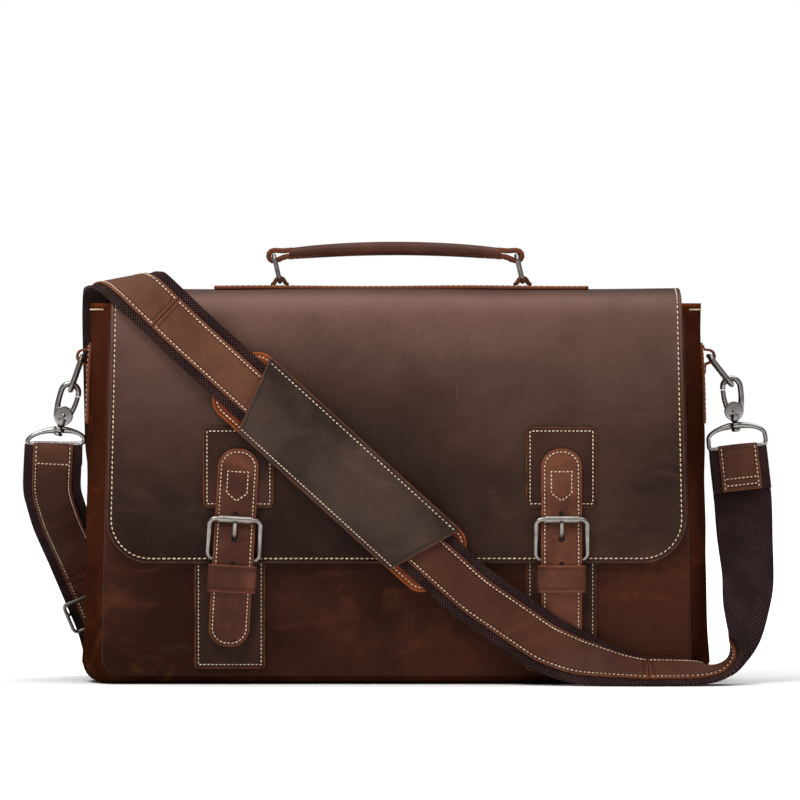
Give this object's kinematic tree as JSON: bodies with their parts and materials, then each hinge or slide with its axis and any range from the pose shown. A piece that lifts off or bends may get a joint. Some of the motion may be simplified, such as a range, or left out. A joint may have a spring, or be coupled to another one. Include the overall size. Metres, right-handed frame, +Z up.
{
  "type": "satchel bag",
  "caption": "Leather satchel bag with a full front flap, roller-buckle closures, a top handle on rings and a clipped shoulder strap with a pad.",
  "frame": {"origin": "centre of the base, on the floor", "axes": "+X to the wearer's left as the front is faced (viewer's right), -Y out of the front, +Z up"},
  "size_m": [0.4932, 0.2004, 0.29],
  "materials": {
    "body_leather": "waxed, mottled reddish brown",
    "flap_leather": "waxed greyish brown, worn at folds, raw tan edges",
    "strap_leather": "waxed, stitched",
    "pad_leather": "orange tan, raw edge",
    "strap_webbing": "dense dark woven webbing with a leather overlay",
    "lining_cloth": "cotton twill",
    "board": "stiffener board",
    "buckle_metal": "antique brushed nickel",
    "ring_metal": "dark antique nickel",
    "hook_metal": "polished nickel, darkened"
  },
  "bodies": {
    "bag": {"front_panel": "body_leather", "back_panel": "body_leather", "gusset": "body_leather", "flap_yoke": "flap_leather", "lining": "lining_cloth", "laptop_divider": "lining_cloth", "slip_pocket": "lining_cloth", "base_stiffener": "board", "left_base_patch": "body_leather", "right_base_patch": "body_leather", "left_snap_socket": "ring_metal", "right_snap_socket": "ring_metal", "left_side_tab": "body_leather", "right_side_tab": "body_leather", "left_hook_bail": "hook_metal", "right_hook_bail": "hook_metal", "shoulder_strap_left": "strap_webbing", "shoulder_strap_back": "strap_webbing", "shoulder_strap_turn": "strap_webbing", "shoulder_strap_foot": "strap_webbing", "shoulder_strap_floor": "strap_webbing", "shoulder_strap_right": "strap_webbing"},
    "flap": {"flap": "flap_leather", "flap_lining": "lining_cloth", "top_strip": "flap_leather", "shoulder_strap_crown": "strap_webbing", "shoulder_strap_front": "strap_webbing", "left_flap_patch": "flap_leather", "left_closure_strap": "flap_leather", "left_buckle_frame": "buckle_metal", "left_buckle_chape": "flap_leather", "left_strap_keeper": "flap_leather", "left_snap_stud": "ring_metal", "left_handle_loop": "flap_leather", "right_flap_patch": "flap_leather", "right_closure_strap": "flap_leather", "right_buckle_frame": "buckle_metal", "right_buckle_chape": "flap_leather", "right_strap_keeper": "flap_leather", "right_snap_stud": "ring_metal", "right_handle_loop": "flap_leather"},
    "pad": {"pad_base": "pad_leather", "pad_cover": "strap_leather"},
    "handle": {"handle_strap": "flap_leather", "handle_grip": "flap_leather"},
    "adjuster": {"strap_adjuster": "hook_metal"},
    "left_roller": {"left_buckle_roller": "buckle_metal"},
    "left_prong": {"left_buckle_prong": "buckle_metal"},
    "left_handle_ring": {"left_handle_ring": "ring_metal"},
    "left_ring": {"left_side_ring": "ring_metal"},
    "left_hook": {"left_hook_body": "hook_metal", "left_gate_pin": "hook_metal"},
    "left_gate": {"left_hook_gate": "hook_metal"},
    "right_roller": {"right_buckle_roller": "buckle_metal"},
    "right_prong": {"right_buckle_prong": "buckle_metal"},
    "right_handle_ring": {"right_handle_ring": "ring_metal"},
    "right_ring": {"right_side_ring": "ring_metal"},
    "right_hook": {"right_hook_body": "hook_metal", "right_gate_pin": "hook_metal"},
    "right_gate": {"right_hook_gate": "hook_metal"}
  },
  "joints": [
    {"name": "flap_hinge", "type": "hinge", "parent": "bag", "child": "flap", "pos_m": [0, 0.0565, 0.24931], "axis": [-1, 0, 0], "range_deg": [0, 120], "deforming": ["shoulder_strap_turn", "shoulder_strap_foot"]},
    {"name": "left_roller_spin", "type": "hinge", "parent": "flap", "child": "left_roller", "pos_m": [-0.10464, -0.069, 0.10756], "axis": [0.9983, 0, -0.0576], "continuous": true},
    {"name": "left_prong_lift", "type": "hinge", "parent": "flap", "child": "left_prong", "pos_m": [-0.10614, -0.0641, 0.0816], "axis": [0.9983, 0, -0.0576], "range_deg": [0, 3]},
    {"name": "right_roller_spin", "type": "hinge", "parent": "flap", "child": "right_roller", "pos_m": [0.1072, -0.069, 0.1075], "axis": [1, 0, 0], "continuous": true},
    {"name": "right_prong_lift", "type": "hinge", "parent": "flap", "child": "right_prong", "pos_m": [0.1072, -0.0641, 0.0815], "axis": [1, 0, 0], "range_deg": [0, 3]},
    {"name": "handle_swing", "type": "hinge", "parent": "flap", "child": "left_handle_ring", "pos_m": [-0.076, 0, 0.262], "axis": [0, 1, 0], "range_deg": [-25, 50]},
    {"name": "handle_right_swing", "type": "hinge", "parent": "flap", "child": "right_handle_ring", "pos_m": [0.083, 0, 0.262], "axis": [0, 1, 0], "range_deg": [-25, 50]},
    {"name": "handle_level", "type": "hinge", "parent": "left_handle_ring", "child": "handle", "pos_m": [-0.07989, 0, 0.27886], "axis": [0, 1, 0], "range_deg": [-50, 25]},
    {"name": "left_ring_swing", "type": "hinge", "parent": "bag", "child": "left_ring", "pos_m": [-0.20532, 0, 0.213], "axis": [0, 1, 0], "range_deg": [-1.5, 1.5]},
    {"name": "left_hook_swivel", "type": "hinge", "parent": "bag", "child": "left_hook", "pos_m": [-0.21797, 0, 0.17407], "axis": [0.2756, 0, 0.9613], "range_deg": [-18, 18]},
    {"name": "left_gate_open", "type": "hinge", "parent": "left_hook", "child": "left_gate", "pos_m": [-0.21797, 0, 0.17407], "axis": [0, -1, 0], "range_deg": [0, 13], "stiffness_Nm_per_rad": 0.02, "springref_deg": -22.92},
    {"name": "right_ring_swing", "type": "hinge", "parent": "bag", "child": "right_ring", "pos_m": [0.20532, 0, 0.213], "axis": [0, 1, 0], "range_deg": [-1.5, 1.5]},
    {"name": "right_hook_swivel", "type": "hinge", "parent": "bag", "child": "right_hook", "pos_m": [0.22161, 0, 0.17713], "axis": [-0.1045, 0, 0.9945], "range_deg": [-18, 18]},
    {"name": "right_gate_open", "type": "hinge", "parent": "right_hook", "child": "right_gate", "pos_m": [0.22161, 0, 0.17713], "axis": [0, 1, 0], "range_deg": [0, 13], "stiffness_Nm_per_rad": 0.02, "springref_deg": -22.92},
    {"name": "pad_slide", "type": "slide", "parent": "flap", "child": "pad", "axis": [0.7391, 0, -0.6736], "range_m": [-0.03, 0.018]},
    {"name": "adjuster_slide", "type": "slide", "parent": "bag", "child": "adjuster", "axis": [-0.349, -0.3878, 0.8531], "range_m": [0, 0.02]}
  ],
  "couplings": [
    {"joint": "handle_right_swing", "follows": "handle_swing", "ratio": 1},
    {"joint": "handle_level", "follows": "handle_swing", "ratio": -1}
  ]
}
